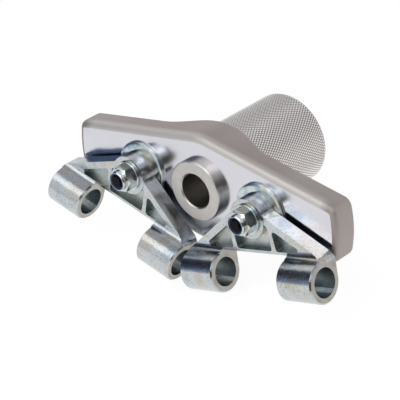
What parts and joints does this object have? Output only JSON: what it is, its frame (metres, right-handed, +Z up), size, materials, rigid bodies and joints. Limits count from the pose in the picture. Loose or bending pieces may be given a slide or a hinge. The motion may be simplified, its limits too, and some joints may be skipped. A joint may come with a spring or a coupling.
{
  "type": "honing guide",
  "caption": "Cast cross bar with a knurled hollow grip on a turning spindle, and swing arms on pivot bolts whose tube pairs slide on round guide rods.",
  "frame": {"origin": "on the axis of the shank bore, in the plane of the bar's polished front face", "axes": "+X along the bar, +Y back along the shank bore to the grip, +Z up"},
  "size_m": [0.1492, 0.0777, 0.0628],
  "materials": {
    "cast_bar": "bead blasted, front face polished to a mirror",
    "knurled_metal": "fine diamond knurl",
    "turned_steel": "fine turned",
    "zinc_arm": "bright zinc plated casting",
    "zinc_plate": "bright zinc plated",
    "bolt_steel": "dark steel",
    "black_steel": "black oxide",
    "bronze": "plain sintered bronze",
    "black_plastic": "matt acetal",
    "blue_nylon": "matt nylon"
  },
  "bodies": {
    "bar": {"cross_bar": "cast_bar", "bearing_bush": "bronze", "thrust_washer": "black_plastic", "pivot_bolt_left": "bolt_steel", "pivot_bolt_right": "bolt_steel", "backing_washer_left": "zinc_plate", "backing_washer_right": "zinc_plate", "pivot_bush_left": "bronze", "pivot_bush_right": "bronze", "nut_washer_left": "zinc_plate", "nut_washer_right": "zinc_plate", "lock_nut_left": "zinc_plate", "lock_nut_right": "zinc_plate", "nylon_ring_left": "blue_nylon", "nylon_ring_right": "blue_nylon"},
    "grip": {"spindle": "turned_steel", "knurled_grip": "knurled_metal", "grip_lock_screw": "black_steel", "shank_clamp_screw": "black_steel"},
    "arm_left": {"swing_arm_left": "zinc_arm"},
    "arm_right": {"swing_arm_right": "zinc_arm"}
  },
  "joints": [
    {"name": "grip_turn", "type": "hinge", "parent": "bar", "child": "grip", "pos_m": [0, 0, 0], "axis": [0, 1, 0], "continuous": true},
    {"name": "arm_left_swing", "type": "hinge", "parent": "bar", "child": "arm_left", "pos_m": [-0.0325, 0, 0], "axis": [0, 1, 0], "range_deg": [-3.5, 155.5]},
    {"name": "arm_right_swing", "type": "hinge", "parent": "bar", "child": "arm_right", "pos_m": [0.0325, 0, 0], "axis": [0, -1, 0], "range_deg": [-3.5, 155.5]}
  ]
}
